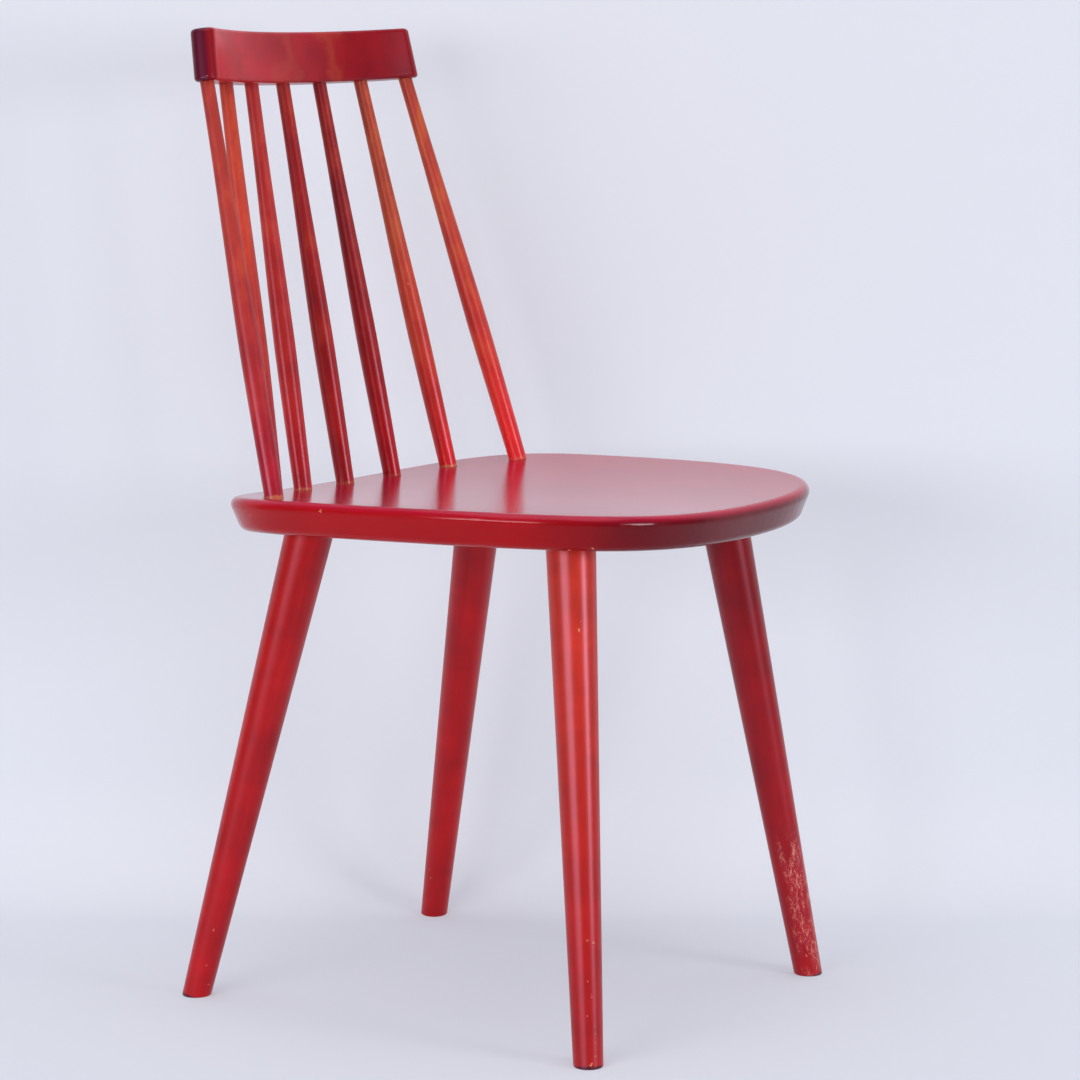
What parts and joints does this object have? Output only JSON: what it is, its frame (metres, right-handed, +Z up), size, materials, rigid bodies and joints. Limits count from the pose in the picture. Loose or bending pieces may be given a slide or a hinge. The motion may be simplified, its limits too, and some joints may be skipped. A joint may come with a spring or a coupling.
{
  "type": "spindle-back chair",
  "caption": "Stained wooden side chair with a dished plank seat on splayed round legs and a bent crest rail on turned spindles, with worn feet and edges.",
  "frame": {"origin": "on the floor, under the middle of the chair's width and depth", "axes": "+Z up, the seat's front faces -Y, +X is the sitter's left"},
  "size_m": [0.448, 0.5095, 0.8485],
  "materials": {
    "seat_lacquered_beech": "beech stained deep red under a gloss clear lacquer, with small chips along the edges",
    "crest_lacquered_beech": "bent beech stained deep red under a satin-gloss clear lacquer, with faint orange cloudy patches",
    "spindle_stained_beech": "turned beech with a thin uneven red stain that lets orange-brown wood show, under a gloss clear lacquer",
    "leg_lacquered_beech": "turned beech stained red under a satin-gloss clear lacquer, scratched and chipped to pale wood near the feet"
  },
  "bodies": {
    "root": {"seat": "seat_lacquered_beech", "crest_rail": "crest_lacquered_beech", "spindle_1": "spindle_stained_beech", "spindle_2": "spindle_stained_beech", "spindle_3": "spindle_stained_beech", "spindle_4": "spindle_stained_beech", "spindle_5": "spindle_stained_beech", "spindle_6": "spindle_stained_beech", "spindle_7": "spindle_stained_beech", "leg_front_right": "leg_lacquered_beech", "leg_front_left": "leg_lacquered_beech", "leg_rear_right": "leg_lacquered_beech", "leg_rear_left": "leg_lacquered_beech"}
  },
  "joints": []
}
